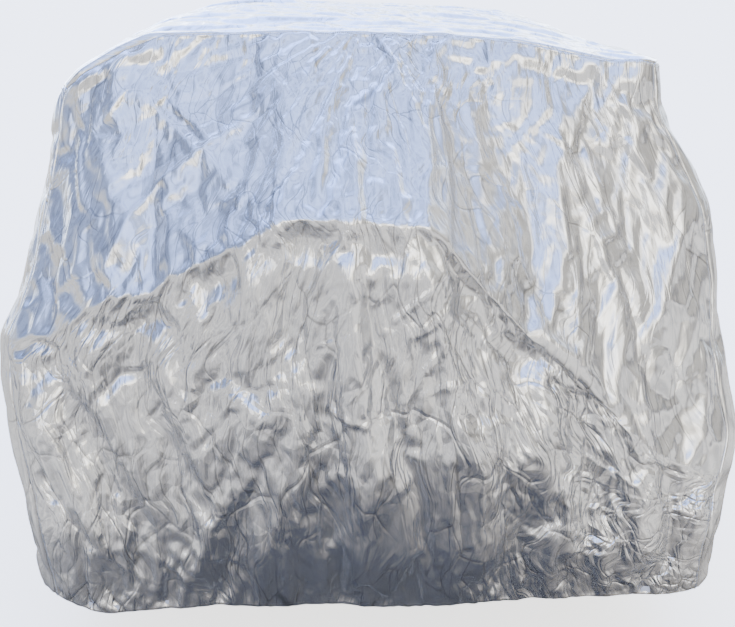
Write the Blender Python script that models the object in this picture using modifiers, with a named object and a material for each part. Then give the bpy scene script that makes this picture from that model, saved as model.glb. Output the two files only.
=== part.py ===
"""A fitted car cover of thin silver film-faced cloth, draped over a compact off-roader
whose spare wheel hangs on the tailgate.

The cover is sewn from seven panels: the top (roof, windscreen and bonnet in one length),
the rear, the nose and two to each side, with a seam between them over the front wheel.
They meet edge to edge at the seams, and every panel's free edge is the elasticated hem,
which draws in under the car.

Sizes are in metres. The tables are in the car's own measures: x across (to the right as
seen from behind), y forwards from the back bumper and z up from the ground. An empty
carries all the panels from there to the part's frame, whose origin is the point on the
inside of the roof where the car holds the cover up.
"""

import math

import bpy
import numpy as np

# Driving dimensions
CLOTH = 0.002            # thickness of the cloth
SEAM_GAP = 0.0006        # panels stop this far from each other at a seam
HOLD_Y = 1.30            # the roof's middle, where the car carries the cover
HEM_HEIGHT = 0.22        # the hem above the ground, on average
NOSE_Y = 4.16            # the front of the bonnet's edge
TAIL_Y = 0.20            # the roof's back edge

# The top panel along the car: half width and height of its side seam, and how far the
# middle stands above that seam.
TOP = (
    # y,     half width, seam height, crown
    (0.20,   0.712,      1.612,       0.092),
    (0.75,   0.700,      1.640,       0.098),
    (1.50,   0.690,      1.645,       0.098),
    (2.10,   0.672,      1.625,       0.095),
    (2.38,   0.660,      1.570,       0.090),
    (3.02,   0.735,      1.160,       0.060),
    (3.20,   0.770,      1.085,       0.058),
    (3.75,   0.785,      1.010,       0.060),
    (4.16,   0.735,      0.900,       0.050),
)
CROWN_POWER = 5          # how squarely the top turns down into its side seams
TOP_EASE = 0.10          # bends of the top are eased over this much each way
TOP_LEAN = -0.035        # the top sinks to the right, for each metre across

# The roof's back edge, where the top and the back panel are sewn together. Its left end
# is round and its right end stands up as a small ear.
ROOF_END = (
    # x,      height
    (-0.780,  1.565),
    (-0.735,  1.612),
    (-0.640,  1.668),
    (-0.560,  1.703),
    (-0.170,  1.710),
    (0.210,   1.702),
    (0.390,   1.686),
    (0.535,   1.655),
    (0.625,   1.638),
    (0.700,   1.642),
    (0.742,   1.630),
)
ROOF_END_EASE = 0.020
CORNER_REACH = 0.90      # forwards of here the side seams run in the top's own line

# Outline seen from behind: half width at each height, left and right of the middle.
OUTLINE = (
    # height, left,  right
    (1.70,    0.760, 0.740),
    (1.60,    0.790, 0.755),
    (1.52,    0.814, 0.765),
    (1.42,    0.828, 0.818),
    (1.25,    0.868, 0.908),
    (1.06,    0.918, 0.946),
    (0.92,    0.976, 0.952),
    (0.78,    0.966, 0.970),
    (0.66,    0.948, 0.998),
    (0.50,    0.918, 0.956),
    (0.37,    0.904, 0.938),
    (0.20,    0.892, 0.938),
)
OUTLINE_EASE = 0.035

# The back of the cover. A ridge runs from the left hip up to the spare wheel, along its
# top and down to the right hip. Above it the cloth slopes back like a tent, and below
# it hangs.
RIDGE = (
    # x,      height, y
    (-0.95,   0.935,  0.035),
    (-0.88,   0.945,  0.000),
    (-0.80,   0.970, -0.045),
    (-0.71,   1.035, -0.090),
    (-0.63,   1.085, -0.125),
    (-0.53,   1.100, -0.150),
    (-0.47,   1.150, -0.175),
    (-0.38,   1.195, -0.205),
    (-0.29,   1.245, -0.245),
    (-0.205,  1.303, -0.285),
    (-0.05,   1.310, -0.305),
    (0.14,    1.287, -0.285),
    (0.18,    1.255, -0.262),
    (0.25,    1.160, -0.215),
    (0.40,    0.990, -0.150),
    (0.52,    0.885, -0.115),
    (0.69,    0.705, -0.060),
    (0.80,    0.620, -0.020),
    (0.95,    0.560,  0.040),
)
RIDGE_ROW = 0.42         # share of the back panel's rows that lie above the ridge
RIDGE_EASE = 0.022       # the ridge is rounded over this much height each way
RIDGE_LINE_EASE = 0.012  # and its own line over this much width
TENT_SAG = 0.030         # how far the tent hollows between the roof and the ridge
TUCK = 0.028             # how far the cloth draws in right under the ridge
TUCK_DEPTH = 0.075       # and how far below the ridge

# The back of the cover below the ridge: y across the car at two heights and at the hem.
WAIST_HEIGHT, SILL_HEIGHT = 0.66, 0.40
HANGING = (
    # x,     waist,   sill,   hem
    (-0.92,  0.005,   0.015,  0.075),
    (-0.70, -0.055,  -0.030,  0.050),
    (-0.45, -0.115,  -0.065,  0.040),
    (-0.22, -0.205,  -0.110,  0.015),
    (0.00,  -0.255,  -0.140, -0.005),
    (0.22,  -0.225,  -0.125,  0.005),
    (0.45,  -0.145,  -0.080,  0.030),
    (0.70,  -0.070,  -0.040,  0.045),
    (0.92,   0.000,   0.005,  0.075),
)
HANG_EASE = 0.075        # bends below the ridge are eased over this much each way
HANG_ACROSS_EASE = 0.06

# Fillets in plan where the back and the nose turn into the sides.
BACK_CORNER_TOP, BACK_CORNER_LOW = 0.070, 0.130
NOSE_CORNER = 0.250
MOST_TURN = 0.98         # a fillet's share of a quarter circle at which it stops turning
ROUND_TO_SEAM = 1 - math.sqrt(0.5)   # a fillet's middle stands this share of its radius in

# The side panels. Under the top seam the cloth swings out to the body's full width.
SWING = 0.125            # it takes this much height to do so
MIRROR_Y, MIRROR_HEIGHT, MIRROR_OUT = 2.78, 1.08, 0.105
MIRROR_LONG, MIRROR_TALL = 0.30, 0.16
WHEELS = (0.78, 3.38)    # y of the wheel arches, where the cloth sinks in a little
ARCH_SINK, ARCH_LONG, ARCH_HEIGHT = 0.030, 0.34, 0.42
PLAN_BOW = 0.020         # the sides draw in this much towards the nose

# The nose panel: bowed in plan, full at the bumper and drawn back under it.
NOSE_BOW, NOSE_BOW_POWER = 0.11, 2.4
NOSE_BULGE, BULGE_FROM, BULGE_OVER = 0.055, 0.95, 0.30
NOSE_DRAWN, DRAWN_FROM, DRAWN_OVER = 0.10, 0.42, 0.25

# The hem's height around the car.
HEM_RISE = (
    # place along the back, from the left seam to the right; height above the average
    (-1.00, -0.012),
    (-0.88, -0.052),
    (-0.74, -0.038),
    (-0.40, -0.008),
    (0.10,   0.001),
    (0.70,   0.010),
    (1.00,   0.004),
)
SIDE_HEM_RISE = 0.055    # the hem arches up along the sides

# Long folds on the back, as ridges (+) or troughs (-) between two points.
BACK_FOLDS = (
    # x from, height, x to,  height, half width, depth
    (-0.035,  1.290, -0.006, 0.300,  0.045,  0.026),   # ridge down the wheel's middle
    (0.000,   1.120,  0.092, 0.790,  0.042, -0.030),   # trough beside it
    (0.092,   0.790,  0.178, 0.330,  0.042, -0.032),
    (0.120,   1.230,  0.250, 0.700,  0.065,  0.022),   # broad fold to its right
    (0.270,   0.760,  0.300, 0.340,  0.055,  0.022),
    (-0.140,  1.290, -0.190, 1.000,  0.040, -0.036),   # troughs off the wheel's left
    (-0.190,  1.000, -0.300, 0.850,  0.045, -0.026),
    (-0.130,  0.980, -0.100, 0.380,  0.045, -0.022),
    (-0.250,  1.220, -0.330, 0.640,  0.055,  0.022),
    (0.235,   1.130,  0.420, 0.905,  0.045, -0.030),   # shadowed band under the ridge
    (-0.700,  0.985, -0.480, 1.030,  0.045, -0.024),
    (-0.420,  1.120, -0.300, 1.170,  0.045, -0.020),
    (-0.880,  0.840, -0.690, 0.360,  0.042,  0.026),   # folds off the left hip
    (-0.800,  0.870, -0.560, 0.400,  0.045, -0.024),
    (-0.480,  0.920, -0.400, 0.440,  0.050,  0.022),
    (-0.600,  0.900, -0.330, 0.380,  0.045, -0.018),
    (0.330,   0.860,  0.400, 0.360,  0.050, -0.022),
    (0.430,   0.840,  0.520, 0.400,  0.050,  0.022),
    (0.520,   0.800,  0.660, 0.380,  0.050, -0.024),   # folds off the right hip
    (0.640,   0.720,  0.740, 0.340,  0.042,  0.024),
    (0.780,   0.620,  0.830, 0.320,  0.042, -0.024),
    (-0.560,  1.560, -0.300, 1.330,  0.045,  0.018),   # folds of the tent
    (-0.330,  1.600, -0.640, 1.240,  0.045, -0.018),
    (-0.240,  1.660, -0.060, 1.340,  0.045,  0.014),
    (0.050,   1.680,  0.140, 1.380,  0.040,  0.016),
    (0.300,   1.560,  0.420, 1.120,  0.045, -0.024),
    (0.420,   1.600,  0.600, 1.140,  0.045,  0.022),
    (0.560,   1.560,  0.760, 1.140,  0.045, -0.024),
    (-0.740,  1.500, -0.840, 1.020,  0.040, -0.022),
    (-0.680,  1.440, -0.560, 1.160,  0.040,  0.020),
)

# Small gathers that the elastic makes along the back's hem.
GATHERS, GATHER_DEPTH = 14, 0.007

# Hanging folds of the sides and the nose.
SIDE_FOLDS, NOSE_FOLDS = 11, 5
FOLD_DEPTH = 0.030
FOLD_SEEDS = {"left": 0.35, "right": 2.10, "nose": 4.40}

# Faces across and down each panel, and the back panel's for each one across the top.
ACROSS, ALONG, DOWN = 12, 30, 28
BACK_FINER = 4
BACK_ACROSS = BACK_FINER * ACROSS
CROWDED_ACROSS = 0.25    # how much closer the faces stand towards the seams
CROWDED_ALONG = 0.06
SIDE_SEAM = 24           # the column where a side's two panels meet

SILVER = (0.60, 0.61, 0.62, 1.0)


def column(table, index):
    """One named column of a table, as an array."""
    return np.array([row[index] for row in table], float)


def eased(keys, values, at, ease):
    """The straight lines that join a table's points, with their corners eased."""
    order = np.argsort(keys)
    keys, values = keys[order], values[order]
    first = (values[1] - values[0]) / (keys[1] - keys[0])
    last = (values[-1] - values[-2]) / (keys[-1] - keys[-2])
    keys = np.concatenate([[keys[0] - 1], keys, [keys[-1] + 1]])
    values = np.concatenate([[values[0] - first], values, [values[-1] + last]])
    return sum(np.interp(at + ease * o, keys, values) for o in np.linspace(-1, 1, 9)) / 9


def blend(low, high, share):
    return low + (high - low) * share


def smooth(value):
    """0 to 1 along an easy S, for a value from 0 to 1."""
    value = np.clip(value, 0, 1)
    return value * value * (3 - 2 * value)


def top_edge(y):
    """Half width, seam height and crown of the top panel at y."""
    keys = column(TOP, 0)
    return [eased(keys, column(TOP, i), y, TOP_EASE) for i in (1, 2, 3)]


def outline(side, height):
    """Half width of the cover at the back, left (-1) or right (1)."""
    keys = column(OUTLINE, 0)
    left = eased(keys, column(OUTLINE, 1), height, OUTLINE_EASE)
    right = eased(keys, column(OUTLINE, 2), height, OUTLINE_EASE)
    return np.where(np.asarray(side) < 0, left, right)


def roof_end(x):
    """Height of the roof's back edge across the car."""
    return eased(column(ROOF_END, 0), column(ROOF_END, 1), x, ROOF_END_EASE)


def top_seam(side, y):
    """Distance from the middle plane and height of the top's side seam at y."""
    edge, seam, _ = top_edge(np.maximum(y, TAIL_Y))
    seam = seam + TOP_LEAN * side * edge
    tail_edge, tail_seam, _ = top_edge(np.array(TAIL_Y))
    (left_x, left_height), (right_x, right_height) = ROOF_END[0], ROOF_END[-1]
    corner = np.where(np.asarray(side) < 0, -left_x, right_x)
    height = np.where(np.asarray(side) < 0, left_height, right_height)
    fade = 1 - smooth((y - TAIL_Y) / CORNER_REACH)
    edge = edge + (corner + ROUND_TO_SEAM * BACK_CORNER_TOP - tail_edge) * fade
    return edge, seam + (height - tail_seam - TOP_LEAN * side * tail_edge) * fade


def half_width(side, y, height):
    """How far the side panel stands from the middle plane."""
    edge, seam = top_seam(side, y)
    body = outline(side, height)
    forward = smooth((y - 1.0) / (NOSE_Y - 1.0))
    body = body - PLAN_BOW * forward
    long, tall = (y - MIRROR_Y) / MIRROR_LONG, (height - MIRROR_HEIGHT) / MIRROR_TALL
    body = body + MIRROR_OUT * np.exp(-long**2 - np.where(tall > 0, tall, tall / 2.4) ** 2)
    for wheel in WHEELS:
        sink = np.exp(-(((y - wheel) / ARCH_LONG) ** 2) - (height / ARCH_HEIGHT) ** 4)
        body = body - ARCH_SINK * sink
    at_seam = outline(side, seam) - PLAN_BOW * forward
    return body + (edge - at_seam) * np.exp(-np.maximum(seam - height, 0) / SWING)


def back_corner(height):
    return blend(BACK_CORNER_LOW, BACK_CORNER_TOP, smooth((height - 0.9) / 0.7))


def ridge(x):
    keys = column(RIDGE, 0)
    return [eased(keys, column(RIDGE, i), x, RIDGE_LINE_EASE) for i in (1, 2)]


def back_plain(x, height):
    """y of the back of the cover before its corners are eased."""
    crest, crest_y = ridge(x)
    roof = roof_end(x)
    keys = column(HANGING, 0)
    waist, sill, hem = (eased(keys, column(HANGING, i), x, HANG_ACROSS_EASE) for i in (1, 2, 3))
    up = np.clip((height - crest) / np.maximum(roof - crest, 0.05), 0, 1.2)
    tent = blend(crest_y, TAIL_Y, up) + TENT_SAG * 4 * up * np.clip(1 - up, 0, 1)
    waist_height = np.minimum(WAIST_HEIGHT, crest - 2 * TUCK_DEPTH)
    down = np.clip((crest - height) / np.maximum(crest - waist_height, 0.05), 0, 1)
    tuck = TUCK * np.sin(math.pi * np.clip((crest - height) / (2 * TUCK_DEPTH), 0, 1))
    hang = blend(crest_y, waist, down) + tuck
    low = blend(waist, sill, np.clip((waist_height - height) / (waist_height - SILL_HEIGHT), 0, 1))
    tucked = blend(sill, hem, smooth((SILL_HEIGHT - height) / (SILL_HEIGHT - HEM_HEIGHT)))
    under = np.where(height > SILL_HEIGHT, low, tucked)
    return np.where(height > crest, tent, np.where(height > waist_height, hang, under))


def back_field(x, height):
    """y of the back of the cover, its bends eased."""
    crest, _ = ridge(x)
    ease = blend(RIDGE_EASE, HANG_EASE, smooth((crest - height - TUCK_DEPTH) / 0.2))
    return sum(back_plain(x, height + ease * o) for o in np.linspace(-1, 1, 9)) / 9


def turned(past, radius):
    """How far a fillet has left the flat face, past its tangent point."""
    share = np.clip(past / radius, 0, MOST_TURN)
    return radius * (1 - np.sqrt(1 - share**2))


def corner_width(side, height):
    """x of the back seam, halfway round the corner."""
    return half_width(side, np.array(TAIL_Y), height) - ROUND_TO_SEAM * back_corner(height)


def back_y(x, height):
    """y of the back of the cover with its corners turned forwards."""
    side = np.where(x < 0, -1, 1)
    radius = back_corner(height)
    flat = half_width(side, np.array(TAIL_Y), height) - radius
    return back_field(x, height) + turned(np.abs(x) - flat, radius)


def side_x(side, y, height):
    """Distance of the side panel from the middle plane, with both corners turned."""
    wide = half_width(side, y, height)
    seam_x = corner_width(side, height)
    radius = back_corner(height)
    behind = back_field(side * seam_x, height) + radius - y
    ahead = y - (nose_y(0 * y, height) - NOSE_CORNER)
    return wide - turned(behind, radius) - turned(ahead, NOSE_CORNER)


def nose_y(x, height):
    """y of the nose panel, bowed in plan and drawn back under the bumper."""
    drawn = NOSE_DRAWN * smooth((DRAWN_FROM - height) / DRAWN_OVER)
    bulge = NOSE_BULGE * smooth((BULGE_FROM - height) / BULGE_OVER)
    return NOSE_Y + bulge - drawn - NOSE_BOW * np.abs(x) ** NOSE_BOW_POWER


def nose_seam_x(side, height):
    """x of the seam between the nose and a side."""
    return half_width(side, np.array(NOSE_Y - 0.1), height) - ROUND_TO_SEAM * NOSE_CORNER


def fold_line(x, height, x0, height0, x1, height1, half, depth):
    """A soft ridge or trough along a line, dying out at both ends."""
    run, rise = x1 - x0, height1 - height0
    length = math.hypot(run, rise)
    along = ((x - x0) * run + (height - height0) * rise) / length**2
    across = ((x - x0) * rise - (height - height0) * run) / length
    ends = smooth((along + 0.15) / 0.3) * smooth((1.15 - along) / 0.3)
    return depth * ends * np.exp(-((across / half) ** 2))


def hanging_folds(place, down, count, seed):
    """Uneven folds that open towards the hem, for a place from 0 to 1 along a panel."""
    sweep = place * count * 2 * math.pi
    wave = np.sin(sweep + seed) + 0.6 * np.sin(1.63 * sweep + 2.3 * seed + 1.1 * down)
    wave = wave + 0.4 * np.sin(0.47 * sweep + 3.1 * seed)
    ends = smooth(place / 0.08) * smooth((1 - place) / 0.08)
    return FOLD_DEPTH * 0.5 * wave * ends * smooth(down / 0.9)


def places(count):
    """Columns from -1 to 1, set closer together towards the seams at both ends."""
    even = np.linspace(-1, 1, count + 1)
    return even * (1 + CROWDED_ACROSS * (1 - even**2))


def back_rows(x, roof, hem):
    """Heights of the back panel's rows at x, so that one row runs along the ridge."""
    rows = np.linspace(0, 1, DOWN + 1)
    above = np.clip(rows / RIDGE_ROW, 0, 1)
    below = np.clip((rows - RIDGE_ROW) / (1 - RIDGE_ROW), 0, 1)
    crest, _ = ridge(x)
    crest = np.minimum(crest, roof - 0.05)
    return roof + (crest - roof) * above + (hem - crest) * below


def back_hem(place):
    return HEM_HEIGHT + eased(column(HEM_RISE, 0), column(HEM_RISE, 1), place, 0.08)


def back_grid():
    """Points of the back panel, row by row, from its left seam to its right one."""
    coarse = places(ACROSS)
    fine = np.interp(np.linspace(-1, 1, BACK_ACROSS + 1), np.linspace(-1, 1, ACROSS + 1), coarse)
    ends = [abs(ROOF_END[0][0]), abs(ROOF_END[-1][0])]
    roof = roof_end(blend(-ends[0], ends[1], (coarse + 1) / 2))
    roof = np.interp(fine, coarse, roof)
    points = np.zeros((DOWN + 1, BACK_ACROSS + 1, 3))
    for j, place in enumerate(fine):
        share = (place + 1) / 2
        x = np.full(DOWN + 1, blend(-ends[0], ends[1], share))
        for _ in range(3):
            heights = back_rows(x, roof[j], back_hem(place))
            x = blend(-corner_width(-1, heights), corner_width(1, heights), share)
        points[:, j] = np.stack([x, back_y(x, heights), heights], axis=1)
    points[0, :, 1] = np.interp(fine, coarse, points[0, ::BACK_FINER, 1])
    return points


def panel_share(even):
    """Columns along the car from 0 to 1, set closer together towards both ends."""
    return even - CROWDED_ALONG * np.sin(2 * math.pi * even)


def side_grid(side, back):
    """Points of a side panel, row by row, from the back seam to the nose seam."""
    corner = back[:, 0 if side < 0 else -1]
    seed = FOLD_SEEDS["left" if side < 0 else "right"]
    share = panel_share(np.linspace(0, 1, ALONG + 1))
    rows = np.linspace(0, 1, DOWN + 1)
    corner_share = (corner[:, 2] - corner[0, 2]) / (corner[-1, 2] - corner[0, 2])
    top_y = blend(corner[0, 1], nose_seam_y(side), share)
    points = np.zeros((DOWN + 1, ALONG + 1, 3))
    for j, along in enumerate(share):
        _, seam = top_seam(side, top_y[j])
        arch = SIDE_HEM_RISE * math.sin(math.pi * along) ** 2
        hem = blend(corner[-1, 2], HEM_HEIGHT, smooth(along * 4)) + arch
        down = blend(corner_share, rows, smooth(along * 3))
        height = seam + (hem - seam) * down
        end_y = nose_y(nose_seam_x(side, height), height)
        y = blend(corner[:, 1], end_y, along)
        y[0] = top_y[j]
        wave = hanging_folds(np.full_like(rows, along), rows, SIDE_FOLDS, seed)
        points[:, j] = np.stack([side * (side_x(side, y, height) + wave), y, height], axis=1)
    points[:, 0] = corner
    return points


def nose_seam_y(side):
    _, height = top_seam(side, np.array(NOSE_Y))
    return float(nose_y(nose_seam_x(side, height), height))


def nose_grid(left, right):
    """Points of the nose panel, row by row, between the two side panels' front edges."""
    across = places(ACROSS)
    share = (across + 1) / 2
    crown = top_edge(np.array(NOSE_Y))[2] * (1 - np.abs(across) ** CROWN_POWER)
    points = np.zeros((DOWN + 1, ACROSS + 1, 3))
    for i in range(DOWN + 1):
        start, end = left[i, -1], right[i, -1]
        down = np.full_like(share, i / DOWN)
        x = blend(start[0], end[0], share)
        height = blend(start[2], end[2], share) + crown * (1 - down) ** 3
        y = nose_y(x, height)
        drift = blend(start[1] - y[0], end[1] - y[-1], share)
        wave = hanging_folds(share, down, NOSE_FOLDS, FOLD_SEEDS["nose"])
        points[i] = np.stack([x, y + drift + wave, height], axis=1)
    return points


def top_grid(back, left, right, nose):
    """Points of the top panel, row by row from the back, between all its neighbours."""
    across = places(ACROSS)
    share = (across + 1) / 2
    arch = 1 - np.abs(across) ** CROWN_POWER
    rear, front = back[0, ::BACK_FINER], nose[0]
    points = np.zeros((ALONG + 1, ACROSS + 1, 3))
    for i in range(ALONG + 1):
        start, end = left[0, i], right[0, i]
        along = panel_share(i / ALONG)
        y = blend(rear[:, 1], front[:, 1], along)
        flat = blend(start[2], end[2], share)
        rise = top_edge(np.maximum(y, TAIL_Y))[2] * arch
        rear_rise = rear[:, 2] - blend(rear[0, 2], rear[-1, 2], share)
        fade = 1 - smooth((y - TAIL_Y) / CORNER_REACH)
        height = flat + blend(rise, rear_rise, fade)
        points[i] = np.stack([blend(start[0], end[0], share), y, height], axis=1)
    points[0], points[-1] = rear, front
    points[:, 0], points[:, -1] = left[0], right[0]
    return points


def add_back_folds(points):
    """Moves the back panel's points out or in along its long folds, clear of the seams."""
    x, height = points[..., 0], points[..., 2]
    out = sum(fold_line(x, height, *row) for row in BACK_FOLDS)
    rows, columns = np.indices(x.shape)
    down, place = rows / DOWN, columns / BACK_ACROSS
    turns = place * 2 * math.pi * GATHERS
    gathers = np.sin(turns) + 0.7 * np.sin(0.62 * turns + 1.0)
    out = out + GATHER_DEPTH * gathers * smooth((down - 0.72) / 0.28)
    free = smooth(place / 0.07) * smooth((1 - place) / 0.07) * smooth(down / 0.06)
    points[..., 1] -= out * free
    return points


def drawn_back(edge, inner):
    """A panel's sewn edge, drawn back by half the seam's gap."""
    step = inner - edge
    return edge + step / np.linalg.norm(step, axis=1, keepdims=True) * SEAM_GAP / 2


def panel(name, points, flip, holder, group, material, sewn_all_round=False):
    """A panel as a net of faces on its points, given the cloth's thickness outwards."""
    points = points.copy()
    points[:, 0] = drawn_back(points[:, 0], points[:, 1])
    points[:, -1] = drawn_back(points[:, -1], points[:, -2])
    points[0] = drawn_back(points[0], points[1])
    if sewn_all_round:
        points[-1] = drawn_back(points[-1], points[-2])
    rows, columns = points.shape[0] - 1, points.shape[1] - 1
    bpy.ops.mesh.primitive_grid_add(x_subdivisions=columns, y_subdivisions=rows)
    net = bpy.context.object
    net.name = net.data.name = name
    ordered = points[::-1] if flip else points
    net.data.vertices.foreach_set("co", ordered.reshape(-1).astype(np.float32))
    net.data.update()
    thick = net.modifiers.new("cloth", "SOLIDIFY")
    thick.thickness = CLOTH
    thick.offset = 1.0
    net.data.shade_smooth()
    net.data.materials.append(material)
    net.parent = holder
    for collection in net.users_collection:
        collection.objects.unlink(net)
    group.objects.link(net)
    return net


def silver_cloth():
    material = bpy.data.materials.new("silver_film_cloth")
    material.use_nodes = True
    shader = material.node_tree.nodes["Principled BSDF"]
    shader.inputs["Base Color"].default_value = SILVER
    shader.inputs["Metallic"].default_value = 0.75
    shader.inputs["Roughness"].default_value = 0.38
    return material


def build():
    for obj in list(bpy.data.objects):
        bpy.data.objects.remove(obj)
    group = bpy.data.collections.new("car_cover")
    bpy.context.scene.collection.children.link(group)

    _, seam, crown = top_edge(np.array(HOLD_Y))
    holder = bpy.data.objects.new("hold_point", None)
    holder.location = (0, -HOLD_Y, -float(seam + crown))
    group.objects.link(holder)

    back = back_grid()
    left, right = side_grid(-1, back), side_grid(1, back)
    nose = nose_grid(left, right)
    top = top_grid(back, left, right, nose)
    back = add_back_folds(back)

    cloth = silver_cloth()
    panel("top_panel", top, False, holder, group, cloth, sewn_all_round=True)
    panel("rear_panel", back, True, holder, group, cloth)
    for side, net, flip in (("left", left, False), ("right", right, True)):
        panel(f"{side}_panel", net[:, :SIDE_SEAM + 1], flip, holder, group, cloth)
        panel(f"{side}_front_panel", net[:, SIDE_SEAM:], flip, holder, group, cloth)
    panel("nose_panel", nose, False, holder, group, cloth)


build()
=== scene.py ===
import math
import random

import bpy
import numpy as np
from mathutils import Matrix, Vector
from mathutils.bvhtree import BVHTree
from mathutils.geometry import delaunay_2d_cdt


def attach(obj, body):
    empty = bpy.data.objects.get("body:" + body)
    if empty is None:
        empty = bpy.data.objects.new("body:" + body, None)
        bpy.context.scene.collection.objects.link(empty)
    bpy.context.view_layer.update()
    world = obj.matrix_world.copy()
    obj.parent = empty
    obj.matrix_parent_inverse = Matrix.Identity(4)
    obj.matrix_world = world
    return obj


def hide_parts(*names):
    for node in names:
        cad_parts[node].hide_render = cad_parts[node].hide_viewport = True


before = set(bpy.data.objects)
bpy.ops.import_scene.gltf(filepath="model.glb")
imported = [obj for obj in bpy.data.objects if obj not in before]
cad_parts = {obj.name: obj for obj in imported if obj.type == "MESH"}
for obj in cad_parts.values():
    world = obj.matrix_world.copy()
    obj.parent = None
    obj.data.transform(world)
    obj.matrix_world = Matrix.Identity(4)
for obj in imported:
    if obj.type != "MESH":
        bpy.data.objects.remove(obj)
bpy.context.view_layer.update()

# ---------------------------------------------------------------------------------------
# The rear panel: one full width of woven polyester with a thin silver film outside, sewn
# to the top along the roof's end and to the sides down the corners, its hem over elastic.
# A ridge runs from hip to hip: above it the cloth slopes like a tent, below it hangs.

# In metres: x to the right as seen from behind, y forwards from the back, height from the
# floor. HOLD is the frame's origin, inside the middle of the roof.
TAIL_Y, NOSE_Y, HOLD_Y = 0.20, 4.16, 1.30
HEM_HEIGHT = 0.22
TOP = (
    # y, half width, seam height, crown
    (0.20, 0.712, 1.612, 0.092),
    (0.75, 0.700, 1.640, 0.098),
    (1.50, 0.690, 1.645, 0.098),
    (2.10, 0.672, 1.625, 0.095),
    (2.38, 0.660, 1.570, 0.090),
    (3.02, 0.735, 1.160, 0.060),
    (3.20, 0.770, 1.085, 0.058),
    (3.75, 0.785, 1.010, 0.060),
    (4.16, 0.735, 0.900, 0.050),
)
TOP_EASE, TOP_LEAN = 0.10, -0.035
ROOF_END = (
    # x, height of the roof's back edge
    (-0.780, 1.565),
    (-0.735, 1.612),
    (-0.640, 1.668),
    (-0.560, 1.703),
    (-0.170, 1.710),
    ( 0.210, 1.702),
    ( 0.390, 1.686),
    ( 0.535, 1.655),
    ( 0.625, 1.638),
    ( 0.700, 1.642),
    ( 0.742, 1.630),
)
ROOF_END_EASE, CORNER_REACH = 0.014, 0.90
OUTLINE = (
    # height, half width left, right
    (1.70, 0.760, 0.740),
    (1.60, 0.790, 0.755),
    (1.52, 0.814, 0.765),
    (1.42, 0.828, 0.818),
    (1.25, 0.868, 0.908),
    (1.06, 0.918, 0.946),
    (0.92, 0.976, 0.952),
    (0.78, 0.966, 0.970),
    (0.66, 0.948, 0.998),
    (0.50, 0.918, 0.956),
    (0.37, 0.904, 0.938),
    (0.20, 0.892, 0.938),
)
OUTLINE_EASE, SWING = 0.025, 0.125
PLAN_BOW, BOW_FROM = 0.020, 1.0
MIRROR_Y, MIRROR_HEIGHT, MIRROR_OUT = 2.78, 1.08, 0.105
MIRROR_LONG, MIRROR_TALL, MIRROR_BELOW = 0.30, 0.16, 2.4
ARCHES = (0.78, 3.38)
ARCH_SINK, ARCH_LONG, ARCH_HEIGHT = 0.030, 0.34, 0.42
BACK_CORNER_TOP, BACK_CORNER_LOW, CORNER_FROM, CORNER_OVER = 0.070, 0.130, 0.9, 0.7
ROUND_TO_SEAM = 1 - math.sqrt(0.5)
MOST_TURN = 0.98
EASE_STEPS, BEND_STEPS = np.linspace(-1, 1, 13), np.linspace(-1, 1, 9)


def eased(table, index, at, ease):
    """A table's column at places along its first one: straight lines with eased corners."""
    rows = np.array(sorted(table))
    keys, values = rows[:, 0], rows[:, index]
    first = (values[1] - values[0]) / (keys[1] - keys[0])
    last = (values[-1] - values[-2]) / (keys[-1] - keys[-2])
    keys = np.concatenate([[keys[0] - 1], keys, [keys[-1] + 1]])
    values = np.concatenate([[values[0] - first], values, [values[-1] + last]])
    return sum(np.interp(at + ease * o, keys, values) for o in EASE_STEPS) / len(EASE_STEPS)


def blend(low, high, share):
    return low + (high - low) * share


def smooth(value):
    value = np.clip(value, 0, 1)
    return value * value * (3 - 2 * value)


def top_edge(y):
    """Half width, seam height and crown of the top panel at y."""
    return [eased(TOP, i, y, TOP_EASE) for i in (1, 2, 3)]


def outline(side, height):
    left, right = (eased(OUTLINE, i, height, OUTLINE_EASE) for i in (1, 2))
    return np.where(np.asarray(side) < 0, left, right)


def top_seam(side, y):
    """Distance from the middle plane and height of the top's side seam at y."""
    edge, seam, _ = top_edge(np.maximum(y, TAIL_Y))
    seam = seam + TOP_LEAN * side * edge
    tail_edge, tail_seam, _ = top_edge(np.array(TAIL_Y))
    (left_x, left_height), (right_x, right_height) = ROOF_END[0], ROOF_END[-1]
    corner = np.where(np.asarray(side) < 0, -left_x, right_x)
    height = np.where(np.asarray(side) < 0, left_height, right_height)
    fade = 1 - smooth((y - TAIL_Y) / CORNER_REACH)
    edge = edge + (corner + ROUND_TO_SEAM * BACK_CORNER_TOP - tail_edge) * fade
    return edge, seam + (height - tail_seam - TOP_LEAN * side * tail_edge) * fade


def half_width(side, y, height):
    """How far a side panel stands from the middle plane."""
    edge, seam = top_seam(side, y)
    forward = smooth((y - BOW_FROM) / (NOSE_Y - BOW_FROM))
    body = outline(side, height) - PLAN_BOW * forward
    long, tall = (y - MIRROR_Y) / MIRROR_LONG, (height - MIRROR_HEIGHT) / MIRROR_TALL
    tall = np.where(tall > 0, tall, tall / MIRROR_BELOW)
    body = body + MIRROR_OUT * np.exp(-(long**2) - tall**2)
    for arch in ARCHES:
        sink = np.exp(-(((y - arch) / ARCH_LONG) ** 2) - (height / ARCH_HEIGHT) ** 4)
        body = body - ARCH_SINK * sink
    at_seam = outline(side, seam) - PLAN_BOW * forward
    return body + (edge - at_seam) * np.exp(-np.maximum(seam - height, 0) / SWING)


def turned(past, radius):
    """How far a fillet has left the flat face, past its tangent point."""
    share = np.clip(past / radius, 0, MOST_TURN)
    return radius * (1 - np.sqrt(1 - share**2))


_, hold_seam, hold_crown = top_edge(np.array(HOLD_Y))
HOLD = np.array([0.0, HOLD_Y, float(hold_seam + hold_crown)])

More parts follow.
